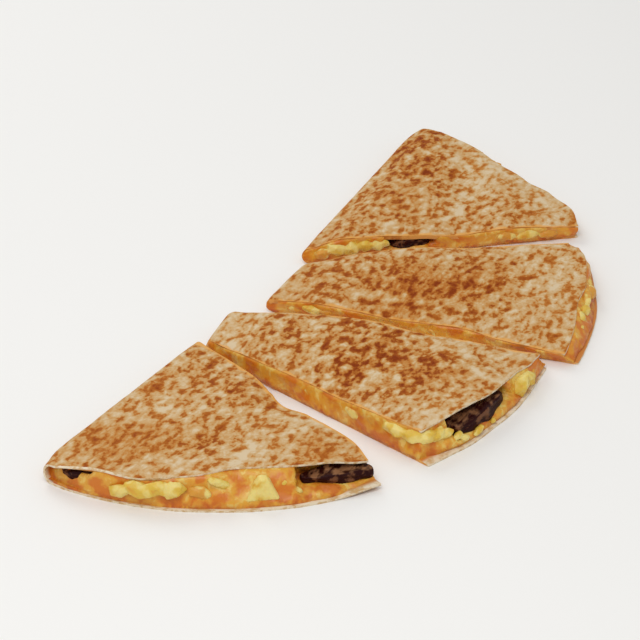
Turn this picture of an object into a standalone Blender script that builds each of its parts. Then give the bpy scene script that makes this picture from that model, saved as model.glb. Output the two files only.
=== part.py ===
# A quesadilla: a flour tortilla folded over cheese, scrambled egg and steak, cut into four slices.
#
# Frame: metres, +X along the fold, the round rim towards -Y, +Z up, origin at the bottom centre
# of the whole. Every slice is shaped where it lay in the uncut half moon, whose middle of the
# fold is the local origin, and its empty then moves it apart from the others. Inside a slice,
# s runs from its first cut (0) to its second (1) and t runs from the fold (0) to the rim (1).

import math

import bmesh
import bpy
from mathutils import Matrix, Vector, noise

MM = 0.001                # the tables below are in millimetres

# The folded tortilla
HALF_LENGTH = 0.1250      # middle of the fold to either tip
HALF_DEPTH = 0.1192       # fold to the middle of the round rim
SHEET = 0.0018            # thickness of the tortilla
TIP_TURN = 5.0            # degrees round the rim left off at either tip, where the fold ends
TIP_ROUND = 0.0035        # how far the fold draws in at either tip
TIP_WIDTH = 0.016         # length of fold that draws in
FOLD_SHARE = 6 / 24       # share of the sheet's rows that go round the fold
MAX_RECESS = 0.25         # largest share of a column that the upper rim lies inside the lower
PILLOW = 0.0009           # how much a slice's middle stands above its edges
EDGE_DROP = 0.0006        # how much a cut presses the top down along itself
EDGE_WIDTH = 0.08         # width of that pressed border, as a share of the slice
RIPPLE = 0.0006           # height of the top's slow unevenness
RIPPLE_SIZE = 0.030       # distance from one ripple to the next
RIPPLE_FULL = 1 / 3       # share of the way to the rim by which the ripples have their full height
LIFT_START = 0.5          # share of the way to the rim from which the rim's lift sets in
WANDER = 0.0007           # how far the rims wander in and out
WANDER_SIZE = 0.018       # distance from one wander to the next
TOP_PATTERN = 2.0         # where in the noise the ripples, the rims and the layers are read
RIM_PATTERN = 5.0
SHARE_PATTERN = 8.0

# The filling
GAP = 0.0003              # clearance between pieces that touch
SAG = 0.0005              # how far the filling has sunk below the upper sheet
RIM_BARE = 0.0032         # bottom sheet left bare outside the filling
TOP_COVER = 0.0006        # how far the top sheet reaches past the filling's upper edge
TIP_BARE = (1, 3)         # columns of a slice that cheese, and egg, leave empty at a tip
EGG_FRONT = 0.010         # the egg layer leaves this much free outside a chunk at its edge
CHEESE_SHARE = 0.46       # share of the filling's height that is cheese
SHARE_WAVE = 0.12         # how far that share rises and falls
DENT = 0.10               # how uneven a chunk is, as a share of its size
DENT_SIZE = 1 / 3         # distance from one dent to the next, as a share of its size
PATTERN_STEP = 0.010      # chunks lie this far apart or more to have dents of their own

# Mesh fineness
COLUMNS = 11              # across a slice
SHEET_ROWS = 24           # from the lower rim round the fold to the upper rim
LAYER_ROWS = 8            # from the fold to the rim

# Each slice: where its two cuts meet the fold (x) and their directions (degrees from +X); the
# slice's height along the first cut and along the second, as (t, height) stops; what the rim
# stands above that, and how far the upper rim lies inside the lower one, as (s, size) stops;
# how far the upper sheet reaches out over each cut, as (t, size) stops; and where the fold end
# of one cut, the pivot, comes to lie and how far the slice turns about it.
SLICES = [
    {"cuts": (-HALF_LENGTH, -0.0317), "leans": (270.0, 252.0),
     "heights": (((0.0, 9.0), (1.0, 10.4)),
                 ((0.0, 8.6), (0.35, 9.6), (0.5, 8.6), (0.7, 10.0), (1.0, 9.4))),
     "rim_lift": ((0.0, 0.0), (0.13, 2.0), (0.27, -0.8), (0.6, 1.2), (0.85, 1.2), (1.0, 0.6)),
     "recess": ((0.0, 0.8), (0.12, 5.0), (0.25, 4.5), (0.45, 8.0), (0.62, 12.0), (0.85, 10.5),
                (1.0, 7.5)),
     "outs": (((0.0, 0.0),),
              ((0.0, 0.0), (0.3, 0.8), (0.51, -2.2), (0.62, 0.8), (0.82, 1.8), (1.0, -3.0))),
     "pivot": -0.0317, "place": (-0.0451, -0.0058), "turn": -4.0},
    {"cuts": (-0.0317, -0.0119), "leans": (252.0, 280.2),
     "heights": (((0.0, 7.2), (0.2, 9.8), (0.5, 9.3), (0.8, 10.6), (1.0, 10.8)),
                 ((0.0, 9.5), (0.2, 11.0), (0.45, 11.6), (0.65, 9.6), (1.0, 7.8))),
     "rim_lift": ((0.0, 0.0), (0.3, 1.6), (0.6, 1.4), (0.85, 0.3), (1.0, 0.4)),
     "recess": ((0.0, 5.0), (0.3, 6.0), (0.55, 4.6), (0.77, 5.2), (0.9, 2.7), (1.0, 2.0)),
     "outs": (((0.0, -1.5), (0.2, 0.3), (0.5, -1.6), (0.77, -0.6), (1.0, -2.6)),
              ((0.0, -1.5), (0.4, 1.2), (0.63, -1.0), (1.0, -1.8))),
     "pivot": -0.0317, "place": (-0.0425, -0.0084), "turn": 5.7},
    {"cuts": (-0.0119, 0.0159), "leans": (280.2, 305.9),
     "heights": (((0.0, 7.2), (0.15, 8.6), (0.4, 7.6), (0.62, 7.6), (0.75, 6.6), (1.0, 5.8)),
                 ((0.0, 7.8), (0.2, 9.8), (0.4, 10.6), (0.6, 9.2), (1.0, 9.4))),
     "rim_lift": ((0.0, 0.0),),
     "recess": ((0.0, 4.2), (0.4, 6.8), (0.6, 4.8), (0.85, 4.6), (1.0, 7.0)),
     "outs": (((0.0, 1.0), (0.4, 1.0), (0.62, -0.7), (0.8, 1.2), (1.0, 1.2)),
              ((0.0, -1.5), (0.3, 0.3), (0.6, -1.5), (1.0, -2.0))),
     "pivot": -0.0119, "place": (-0.0054, -0.0131), "turn": 1.7},
    {"cuts": (0.0159, HALF_LENGTH), "leans": (305.9, 270.0),
     "heights": (((0.0, 7.2), (0.12, 10.4), (0.25, 10.4), (0.38, 9.4), (0.55, 7.6), (0.72, 8.6),
                  (1.0, 6.6)),
                 ((0.0, 9.0), (1.0, 9.0))),
     "rim_lift": ((0.0, 0.0),),
     "recess": ((0.0, 0.5), (0.15, -1.0), (0.3, 2.0), (0.42, 6.5), (0.58, 9.5), (0.72, 6.0),
                (0.85, 4.0), (1.0, 1.5)),
     "outs": (((0.0, -0.5), (0.5, 1.0), (1.0, 1.0)),
              ((0.0, 0.0),)),
     "pivot": 0.0159, "place": (0.0309, -0.0078), "turn": 4.0},
]

# Each chunk: what it is made of, its slice, its middle in the uncut half moon, its size along,
# across and up, its turn about Z in degrees and the height of its underside.
CHUNKS = {
    "steak_1_left": {"food": "steak", "slice": 0, "middle": (-0.1165, -0.0155),
                     "size": (0.013, 0.007, 0.0042), "turn": -68.0, "base": 0.0027},
    "steak_1_right": {"food": "steak", "slice": 0, "middle": (-0.0745, -0.0870),
                      "size": (0.027, 0.011, 0.0040), "turn": -40.0, "base": 0.0032},
    "steak_2": {"food": "steak", "slice": 1, "middle": (-0.0342, -0.1075),
                "size": (0.031, 0.013, 0.0054), "turn": -13.0, "base": 0.0027},
    "steak_4": {"food": "steak", "slice": 3, "middle": (0.0440, -0.0330),
                "size": (0.016, 0.009, 0.0037), "turn": -52.0, "base": 0.0029},
    "egg_1_chunk": {"food": "egg", "slice": 0, "middle": (-0.0925, -0.0705),
                    "size": (0.0095, 0.0060, 0.0056), "turn": -48.0, "base": 0.0034},
}


def lerp(pair, share):
    return pair[0] * (1.0 - share) + pair[1] * share


def smooth(share):
    share = min(max(share, 0.0), 1.0)
    return share * share * (3.0 - 2.0 * share)


def along(stops, place):
    """The size at a place, read smoothly from (place, millimetres) stops."""
    size = stops[0][1]
    for (left, low), (right, high) in zip(stops, stops[1:]):
        if place > left:
            size = lerp((low, high), smooth((place - left) / (right - left)))
    return size * MM


def rim_distance(x, direction):
    """Distance from a point of the fold to the rim's ellipse, along a direction."""
    a = (direction.x / HALF_LENGTH) ** 2 + (direction.y / HALF_DEPTH) ** 2
    b = x * direction.x / HALF_LENGTH ** 2
    c = (x / HALF_LENGTH) ** 2 - 1.0
    return (-b + math.sqrt(b * b - a * c)) / a


def column(piece, s):
    """The fold point, the direction to the rim and the distance to it, at s across the slice."""
    turns = [math.degrees(math.acos(-x / HALF_LENGTH)) for x in piece["cuts"]]
    turns = [min(max(turn, TIP_TURN), 180.0 - TIP_TURN) for turn in turns]
    x = -HALF_LENGTH * math.cos(math.radians(lerp(turns, s)))
    lean = math.radians(lerp(piece["leans"], s))
    direction = Vector((math.cos(lean), math.sin(lean)))
    drawn_in = TIP_ROUND * smooth((abs(x) - HALF_LENGTH + TIP_WIDTH) / TIP_WIDTH) ** 2
    start = Vector((x, 0.0)) + direction * drawn_in
    return start, direction, rim_distance(x, direction) - drawn_in


def ripple(place, size, pattern):
    """A smooth unevenness between about -1 and 1."""
    return noise.noise(Vector((place.x / size, place.y / size, pattern)))


def slice_height(piece, s, t):
    """Height of the upper sheet's outer face, without the round of the fold."""
    first, second = piece["heights"]
    pressed = 1.0 - smooth(min(s, 1.0 - s) / EDGE_WIDTH)
    height = lerp((along(first, t), along(second, t)), s) - EDGE_DROP * pressed
    height += along(piece["rim_lift"], s) * smooth((t - LIFT_START) / (1.0 - LIFT_START))
    return height + PILLOW * math.sin(math.pi * s) * math.sin(math.pi * t)


def top_height(piece, s, away):
    """Height of the upper sheet's outer face, at a distance from the fold."""
    start, direction, reach = column(piece, s)
    bend = slice_height(piece, s, 0.0) / 2
    t = min(max(away - bend, 0.0) / (reach - bend), 1.0)
    place = start + direction * away
    rippled = RIPPLE * ripple(place, RIPPLE_SIZE, TOP_PATTERN) * smooth(t / RIPPLE_FULL)
    return slice_height(piece, s, t) + rippled


def rim_reach(piece, s, share):
    """Distance from the fold to the lower sheet's rim (share 0) or the upper one's (share 1)."""
    start, direction, reach = column(piece, s)
    wander = WANDER * ripple(start + direction * reach, WANDER_SIZE, RIM_PATTERN + share)
    recess = min(along(piece["recess"], s), MAX_RECESS * reach)
    return reach - recess * share - wander


def placed(piece, s, away, height, share):
    """A point of the slice, moved sideways by its cuts' unevenness as far as it is upper."""
    start, direction, reach = column(piece, s)
    t = away / reach
    first, second = piece["outs"]
    out = along(second, t) * s ** 2 - along(first, t) * (1.0 - s) ** 2
    sideways = Vector((-direction.y, direction.x))
    place = start + direction * away + sideways * out * share
    return Vector((place.x, place.y, height))


def sheet_point(piece, s, t):
    """The sheet's middle surface: t is -1 at the lower rim, 0 at the fold, 1 at the upper rim."""
    bend = slice_height(piece, s, 0.0) / 2
    run = (abs(t) - FOLD_SHARE) / (1.0 - FOLD_SHARE)
    if run <= 0.0:
        angle = t / FOLD_SHARE * math.pi / 2
        away = bend - (bend - SHEET / 2) * math.cos(angle)
        height = bend + (bend - SHEET / 2) * math.sin(angle)
        return placed(piece, s, away, height, (1.0 + math.sin(angle)) / 2)
    if t < 0.0:
        return placed(piece, s, lerp((bend, rim_reach(piece, s, 0.0)), run), SHEET / 2, 0.0)
    away = lerp((bend, rim_reach(piece, s, 1.0)), run)
    return placed(piece, s, away, top_height(piece, s, away) - SHEET / 2, 1.0)


def filling_point(piece, s, t, share):
    """A point of the filling, share of the way from the lower sheet to the upper one."""
    bend = slice_height(piece, s, 0.0) / 2
    inner_radius = bend - SHEET - GAP
    rise = (2.0 * share - 1.0) * inner_radius
    away_in = bend - math.sqrt(max(inner_radius ** 2 - rise ** 2, 0.0))
    away_out = lerp((rim_reach(piece, s, 0.0) - RIM_BARE, rim_reach(piece, s, 1.0) - TOP_COVER),
                    share)
    away = lerp((away_in, away_out), t)
    high = top_height(piece, s, away) - SHEET - SAG
    return placed(piece, s, away, lerp((SHEET + GAP, high), share), share)


def cheese_share(place):
    return CHEESE_SHARE + SHARE_WAVE * ripple(place, WANDER_SIZE, SHARE_PATTERN)


def material(name, colour, roughness):
    result = bpy.data.materials.new(name)
    result.use_nodes = True
    shader = result.node_tree.nodes["Principled BSDF"]
    shader.inputs["Base Color"].default_value = (*colour, 1.0)
    shader.inputs["Roughness"].default_value = roughness
    shader.inputs["Metallic"].default_value = 0.0
    result.diffuse_color = (*colour, 1.0)
    return result


def add_object(name, builder, finish, parent, collection):
    """Turn a bmesh into an object of its own under its slice's empty."""
    mesh = bpy.data.meshes.new(name)
    builder.to_mesh(mesh)
    builder.free()
    result = bpy.data.objects.new(name, mesh)
    if finish is not None:
        mesh.materials.append(finish)
    collection.objects.link(result)
    result.parent = parent
    return result


def add_sheet(name, piece, finish, parent, collection):
    builder = bmesh.new()
    bmesh.ops.create_grid(builder, x_segments=COLUMNS, y_segments=SHEET_ROWS, size=1.0)
    for vert in builder.verts:
        vert.co = sheet_point(piece, (vert.co.x + 1.0) / 2, vert.co.y)
    result = add_object(name, builder, finish, parent, collection)
    shell = result.modifiers.new("thickness", "SOLIDIFY")
    shell.thickness = SHEET
    shell.offset = 0.0
    return result


def add_layer(name, piece, is_cheese, finish, parent, collection):
    """One layer of filling, from face to face of its slice."""
    bare = TIP_BARE[0 if is_cheese else 1] / COLUMNS
    first = 0.0 if abs(piece["cuts"][0]) < HALF_LENGTH else bare
    last = 1.0 if abs(piece["cuts"][1]) < HALF_LENGTH else 1.0 - bare
    columns = round((last - first) * COLUMNS)
    builder = bmesh.new()
    bmesh.ops.create_grid(builder, x_segments=columns, y_segments=LAYER_ROWS, size=1.0)
    raised = bmesh.ops.extrude_face_region(builder, geom=builder.faces[:])
    upper = {item for item in raised["geom"] if isinstance(item, bmesh.types.BMVert)}
    for vert in builder.verts:
        s = lerp((first, last), (vert.co.x + 1.0) / 2)
        t = (vert.co.y + 1.0) / 2
        middle = cheese_share(filling_point(piece, s, t, CHEESE_SHARE))
        if (vert in upper) == is_cheese:
            vert.co = filling_point(piece, s, t, middle)
            vert.co.z -= GAP / 2 if is_cheese else -GAP / 2
        else:
            vert.co = filling_point(piece, s, t, 0.0 if is_cheese else 1.0)
    bmesh.ops.recalc_face_normals(builder, faces=builder.faces[:])
    return add_object(name, builder, finish, parent, collection)


def add_chunk(name, chunk, clearance, front, finish, parent, collection):
    """An uneven block, grown by the clearance all round and lengthened towards the rim."""
    builder = bmesh.new()
    bmesh.ops.create_cube(builder, size=1.0)
    bmesh.ops.subdivide_edges(builder, edges=builder.edges[:], cuts=1, use_grid_fill=True)
    size = Vector(chunk["size"])
    pattern = Vector(chunk["middle"]).to_3d() / PATTERN_STEP
    for vert in builder.verts:
        dent = 1.0 + DENT * noise.noise(vert.co / DENT_SIZE + pattern)
        reach = size * dent + Vector((2.0, 2.0, 2.0)) * clearance
        vert.co = Vector((vert.co[axis] * reach[axis] for axis in range(3)))
        if vert.co.y < 0.0:
            vert.co.y -= front
    middle = Vector((*chunk["middle"], chunk["base"] + size.z / 2))
    place = Matrix.Translation(middle) @ Matrix.Rotation(math.radians(chunk["turn"]), 4, "Z")
    bmesh.ops.transform(builder, matrix=place, verts=builder.verts[:])
    result = add_object(name, builder, finish, parent, collection)
    rounding = result.modifiers.new("rounding", "SUBSURF")
    rounding.levels = 1
    rounding.render_levels = 1
    return result


def cut_with(target, cutter):
    cut = target.modifiers.new("cut for " + cutter.name, "BOOLEAN")
    cut.operation = "DIFFERENCE"
    cut.object = cutter
    cut.solver = "EXACT"


def add_empty(name, parent, collection):
    result = bpy.data.objects.new(name, None)
    result.parent = parent
    collection.objects.link(result)
    return result


def place_slice(holder, piece):
    """Turn the slice about its pivot on the fold and bring the pivot to its place."""
    turn = Matrix.Rotation(math.radians(piece["turn"]), 4, "Z")
    offset = turn @ Vector((piece["pivot"], 0.0, 0.0))
    holder.rotation_euler = (0.0, 0.0, math.radians(piece["turn"]))
    holder.location = Vector((*piece["place"], 0.0)) - offset


def centre_over_origin(root, parts):
    """Bring the bottom centre of the finished parts to the world's origin."""
    bpy.context.view_layer.update()
    graph = bpy.context.evaluated_depsgraph_get()
    corners = []
    for part in parts:
        solid = part.evaluated_get(graph)
        corners += [part.matrix_world @ Vector(corner) for corner in solid.bound_box]
    low = [min(corner[axis] for corner in corners) for axis in range(3)]
    high = [max(corner[axis] for corner in corners) for axis in range(3)]
    root.location = (-(low[0] + high[0]) / 2, -(low[1] + high[1]) / 2, -low[2])


def build():
    for leftover in list(bpy.data.objects):
        bpy.data.objects.remove(leftover, do_unlink=True)

    parts = bpy.data.collections.new("quesadilla")
    cutters = bpy.data.collections.new("cutters")
    bpy.context.scene.collection.children.link(parts)
    bpy.context.scene.collection.children.link(cutters)

    foods = {"tortilla": material("tortilla", (0.80, 0.62, 0.40), 0.75),
             "cheese": material("cheese", (0.83, 0.33, 0.06), 0.35),
             "egg": material("egg", (0.88, 0.64, 0.14), 0.45),
             "steak": material("steak", (0.11, 0.045, 0.035), 0.50)}

    root = add_empty("quesadilla_root", None, parts)
    built = []
    holders = []
    layers = []
    for number, piece in enumerate(SLICES, start=1):
        holder = add_empty(f"slice_{number}", root, parts)
        place_slice(holder, piece)
        holders.append(holder)
        built.append(add_sheet(f"tortilla_{number}", piece, foods["tortilla"], holder, parts))
        layers.append([
            add_layer(f"cheese_{number}", piece, True, foods["cheese"], holder, parts),
            add_layer(f"egg_{number}", piece, False, foods["egg"], holder, parts)])
        built += layers[-1]

    for name, chunk in CHUNKS.items():
        holder = holders[chunk["slice"]]
        built.append(add_chunk(name, chunk, 0.0, 0.0, foods[chunk["food"]], holder, parts))
        for layer, front in zip(layers[chunk["slice"]], (0.0, EGG_FRONT)):
            room = f"{name}_room_in_{layer.name}"
            cutter = add_chunk(room, chunk, GAP, front, None, holder, cutters)
            cutter.hide_render = True
            cutter.display_type = "WIRE"
            cut_with(layer, cutter)

    centre_over_origin(root, built)


build()
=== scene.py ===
# A quesadilla in four slices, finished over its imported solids: griddled tortilla, melted cheese,
# scrambled egg and steak. Everything is in metres, with the fold towards +Y and the rim towards -Y.
# A slice is shaped where it lay in the uncut half moon and is then moved to where its solids are.
# s runs across a slice from its first cut (0) to its second (1), t from the fold (0) to the rim (1),
# and h from the lower sheet (0) to the upper one (1).

import math
import random

import bpy
from mathutils import Matrix, Vector, noise


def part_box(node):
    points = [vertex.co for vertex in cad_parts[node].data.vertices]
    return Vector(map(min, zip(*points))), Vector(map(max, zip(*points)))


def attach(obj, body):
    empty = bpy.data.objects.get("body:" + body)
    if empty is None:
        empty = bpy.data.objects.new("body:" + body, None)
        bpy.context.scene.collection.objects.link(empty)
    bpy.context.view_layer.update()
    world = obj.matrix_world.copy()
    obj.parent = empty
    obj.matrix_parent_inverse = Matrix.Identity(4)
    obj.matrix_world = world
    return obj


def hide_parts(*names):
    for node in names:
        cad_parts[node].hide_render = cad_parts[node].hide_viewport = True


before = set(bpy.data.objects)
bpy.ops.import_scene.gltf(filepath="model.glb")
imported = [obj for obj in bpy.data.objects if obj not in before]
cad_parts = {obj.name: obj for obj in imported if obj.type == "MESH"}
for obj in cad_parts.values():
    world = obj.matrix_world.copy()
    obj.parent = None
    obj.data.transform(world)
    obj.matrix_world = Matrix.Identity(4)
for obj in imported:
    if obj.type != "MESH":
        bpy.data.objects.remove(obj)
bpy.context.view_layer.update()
print("solids loaded")

mm = 0.001

halfMoon = {
    "halfLength": 0.1250,  # middle of the fold to a tip
    "halfDepth": 0.1192,  # fold to the middle of the rim
    "sheet": 0.0018,  # thickness of the tortilla
    "tipTurn": 5.0,  # degrees of rim left off at a tip
    "tipRound": 0.0018,  # how far the fold draws in at a tip
    "tipWidth": 0.016,
    "foldShare": 0.25,  # share of t that goes round the fold
    "maxRecess": 0.25,
    "pillow": 0.0009,
    "edgeDrop": 0.0006,  # a cut presses the top down
    "edgeWidth": 0.08,
    "ripple": 0.0006,
    "rippleSize": 0.030,
    "rippleFull": 1 / 3,
    "liftStart": 0.5,
    "curlStart": 0.86,
    "wander": 0.0007,
    "wanderSize": 0.018,
    "topCover": 0.0006,
    "cheeseShare": 0.46,
    "shareWave": 0.12,
}

# For each slice: its cuts on the fold (x) and their directions (degrees), its height along either
# cut, the lift and the recess of the upper rim, how far the upper sheet reaches over either cut
# and how much of the lower rim is bare (all in stops of place and millimetres), and where it lies.
# "toast" lists patches of the uncut half moon in millimetres: x, y, radius, brown spots, tan smear.
# "curds" lists egg: the wall it shows at, its place along that wall, its h, its length and height
# in millimetres, how far its middle stands out in millimetres and its tilt in degrees.
slices = [
    {"cuts": (-0.1250, -0.0317), "leans": (270.0, 252.0),
     "heights": (((0.0, 9.0), (1.0, 10.4)),
                 ((0.0, 8.6), (0.35, 9.6), (0.5, 8.6), (0.7, 10.0), (1.0, 9.4))),
     "rimLift": ((0.0, 0.2), (0.13, 2.4), (0.27, 0.3), (0.6, 1.9), (0.85, 1.4), (1.0, 0.0)),
     "recess": ((0.0, 0.8), (0.12, 5.0), (0.25, 4.5), (0.45, 8.0), (0.62, 12.0), (0.85, 9.4),
                (1.0, 6.4)),
     "outs": (((0.0, 0.0),),
              ((0.0, 0.0), (0.3, 0.8), (0.51, -2.2), (0.62, 0.8), (0.82, 2.6), (1.0, -1.2))),
     "bare": ((0.0, 1.6), (0.8, 1.2), (0.93, 1.5), (1.0, 2.0)),
     "curl": ((0.82, 0.0), (1.0, 2.0)), "stained": 0.9,
     "pivot": -0.0317, "place": (-0.0451, -0.0058), "turn": -4.0, "filled": (0.03, 1.0),
     "toast": ((-103, -16, 16, 0.15, 1.1), (-92, -30, 10, 0.10, 0.5), (-87, -45, 9, 0.55, 0.0),
               (-77, -14, 7, 0.15, 0.0), (-50, -34, 13, 0.45, 0.0), (-67, -81, 12, 0.10, 0.7),
               (-84, -15, 8, -0.25, -0.2), (-67, -28, 9, 0.10, 0.0), (-88, -60, 9, -0.35, -0.2),
               (-60, -65, 9, -0.30, 0.1), (-45, -8, 12, 0.35, 0.1)),
     "curds": (("rim", 0.222, 0.52, 8.5, 5.8, 0.9, 12), ("rim", 0.268, 0.80, 10.0, 6.2, 1.1, -8),
               ("rim", 0.312, 0.70, 10.0, 6.8, 1.3, 10), ("rim", 0.358, 0.84, 10.0, 6.0, 1.4, -6),
               ("rim", 0.400, 0.72, 9.5, 6.8, 1.4, 20), ("rim", 0.552, 0.80, 12.0, 3.6, 1.8, -34),
               ("rim", 0.475, 0.48, 9.5, 5.0, -0.1, -20), ("rim", 0.735, 0.62, 5.5, 3.4, 0.2, 15),
               ("rim", 0.755, 0.36, 6.0, 3.0, -0.2, -20))},
    {"cuts": (-0.0317, -0.0119), "leans": (252.0, 280.2),
     "heights": (((0.0, 7.2), (0.2, 9.8), (0.5, 9.3), (0.8, 11.8), (1.0, 12.2)),
                 ((0.0, 9.5), (0.2, 11.0), (0.45, 11.6), (0.65, 9.6), (1.0, 7.8))),
     "rimLift": ((0.0, 0.0), (0.3, 1.6), (0.6, 1.4), (0.85, 0.3), (1.0, 0.4)),
     "recess": ((0.0, 5.0), (0.3, 6.0), (0.55, 4.6), (0.77, 5.2), (0.9, 2.7), (1.0, 2.0)),
     "outs": (((0.0, -1.5), (0.2, 0.3), (0.5, -1.6), (0.77, -0.6), (1.0, -2.6)),
              ((0.0, -1.5), (0.4, 1.2), (0.63, -1.0), (1.0, -1.8))),
     "bare": ((0.0, 4.4), (0.12, 2.4), (0.25, 1.5), (1.0, 1.2)),
     "curl": ((0.0, 0.0),), "stained": 1.6,
     "pivot": -0.0317, "place": (-0.0425, -0.0084), "turn": 5.7, "filled": (0.0, 1.0),
     "toast": ((-34, -71, 15, 0.80, 0.0), (-10, -61, 13, 0.75, 0.15), (-22, -28, 14, 0.55, 0.0),
               (-34, -52, 12, 0.75, 0.0), (-4, -83, 6, -0.90, -0.1), (-54, -98, 10, -0.50, 0.0),
               (2, -112, 12, -0.35, 0.2), (-23, -9, 9, -0.50, -0.1), (-20, -95, 14, 0.35, 0.3),
               (-25, -83, 12, 0.40, 0.1)),
     "curds": (("near", 0.47, 0.66, 11.0, 5.6, -1.5, 6), ("near", 0.70, 0.72, 11.0, 5.4, -1.3, 0),
               ("near", 0.79, 0.72, 9.0, 4.6, -1.0, 4), ("near", 0.90, 0.88, 13.0, 5.4, 0.3, -3),
               ("near", 0.97, 0.86, 10.0, 5.6, 0.5, 5), ("rim", 0.035, 0.80, 8.0, 5.6, 0.7, 0),
               ("rim", 0.10, 0.70, 8.0, 5.0, 0.8, 20), ("rim", 0.16, 0.60, 6.5, 4.4, 0.9, 0),
               ("rim", 0.215, 0.36, 5.0, 3.8, 1.0, 10), ("rim", 0.25, 0.20, 5.0, 3.4, 1.2, -15),
               ("rim", 0.345, 0.14, 6.0, 3.2, 1.0, 20), ("rim", 0.46, 0.10, 3.0, 2.2, 0.6, 30),
               ("rim", 0.755, 0.52, 9.5, 7.6, 0.5, 40), ("rim", 0.825, 0.62, 9.0, 7.0, 0.6, -15),
               ("rim", 0.885, 0.60, 5.5, 4.4, -0.4, 0))},
    {"cuts": (-0.0119, 0.0159), "leans": (280.2, 305.9),
     "heights": (((0.0, 7.2), (0.15, 8.6), (0.4, 7.6), (0.62, 7.6), (0.75, 6.6), (1.0, 5.8)),
                 ((0.0, 7.8), (0.2, 9.8), (0.4, 10.6), (0.6, 9.2), (1.0, 9.4))),
     "rimLift": ((0.0, 0.0),),
     "recess": ((0.0, 4.2), (0.4, 6.8), (0.6, 4.2), (0.85, 3.4), (1.0, 7.0)),
     "outs": (((0.0, 1.0), (0.4, 1.0), (0.62, -0.7), (0.8, 1.6), (1.0, 2.2)),
              ((0.0, -1.5), (0.3, 0.3), (0.6, -1.5), (1.0, -3.2))),
     "bare": ((0.0, 2.0), (0.2, 0.8), (1.0, 0.8)),
     "curl": ((0.0, 0.0),), "stained": -1.5,
     "pivot": -0.0119, "place": (-0.0054, -0.0131), "turn": 1.3, "filled": (0.0, 1.0),
     "toast": ((20, -44, 15, 0.65, 0.8), (38, -68, 13, 0.55, 0.5), (23, -63, 12, 0.45, 0.6),
               (19, -79, 11, 0.50, 0.0), (6, -18, 13, 0.35, 0.3), (-6, -5, 9, 0.0, 0.5),
               (35, -97, 20, -0.20, 0.0), (1, -48, 12, 0.55, 0.8)),
     "curds": (("near", 0.085, 0.62, 9.0, 4.0, -0.2, 0), ("near", 0.14, 0.70, 10.0, 4.0, 0.1, -4),
               ("near", 0.19, 0.66, 7.0, 3.4, 0.0, 4), ("near", 0.55, 0.5, 9.0, 4.4, -1.0, 0),
               ("rim", 0.65, 0.62, 9.0, 5.0, -0.5, 8), ("rim", 0.57, 0.52, 10.0, 6.4, -0.2, -20),
               ("rim", 0.49, 0.66, 10.0, 6.0, 0.0, 12), ("rim", 0.41, 0.50, 9.0, 5.6, 0.1, -15),
               ("rim", 0.33, 0.72, 8.0, 4.6, 0.2, 0), ("rim", 0.24, 0.55, 5.0, 3.2, 0.1, 20))},
    {"cuts": (0.0159, 0.1250), "leans": (305.9, 270.0),
     "heights": (((0.0, 7.2), (0.12, 10.4), (0.25, 10.4), (0.38, 9.4), (0.55, 7.6), (0.72, 8.6),
                  (1.0, 6.6)),
                 ((0.0, 9.0), (1.0, 9.0))),
     "rimLift": ((0.0, 0.0),),
     "recess": ((0.0, 0.5), (0.15, -1.0), (0.3, 2.0), (0.42, 6.5), (0.58, 10.5), (0.72, 8.5),
                (0.85, 6.5), (1.0, 2.5)),
     "outs": (((0.0, -0.5), (0.5, 1.0), (1.0, 1.0)),
              ((0.0, 0.0),)),
     "bare": ((0.0, 2.0), (1.0, 1.6)),
     "curl": ((0.0, 0.0),), "stained": 2.4,
     "pivot": 0.0159, "place": (0.0309, -0.0078), "turn": 4.0, "filled": (0.0, 0.97),
     "toast": ((106, -44, 14, -0.60, -0.2), (77, -42, 11, -0.15, -0.2), (95, -10, 14, 0.65, 0.4),
               (88, -27, 9, 0.65, 0.1), (59, -25, 12, 0.30, 0.7), (71, -64, 9, 0.45, 0.0),
               (93, -74, 16, -0.35, 0.1), (116, -12, 10, 0.45, 0.3), (36, -11, 12, 0.25, 0.3),
               (72, -18, 11, 0.40, 0.4)),
     "curds": (("near", 0.06, 0.54, 9.0, 6.0, -0.1, 8), ("near", 0.115, 0.64, 9.0, 6.4, 0.3, -10),
               ("near", 0.17, 0.56, 8.5, 6.2, 0.2, 12), ("near", 0.215, 0.72, 8.0, 5.4, 0.5, -8),
               ("near", 0.255, 0.62, 7.0, 5.0, 0.3, 6), ("near", 0.285, 0.74, 5.0, 3.8, 0.4, 0),
               ("near", 0.74, 0.60, 12.0, 4.6, -0.2, 0), ("near", 0.82, 0.64, 12.0, 4.6, 0.1, 3),
               ("near", 0.90, 0.58, 9.0, 4.0, -0.1, 0))},
]

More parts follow.
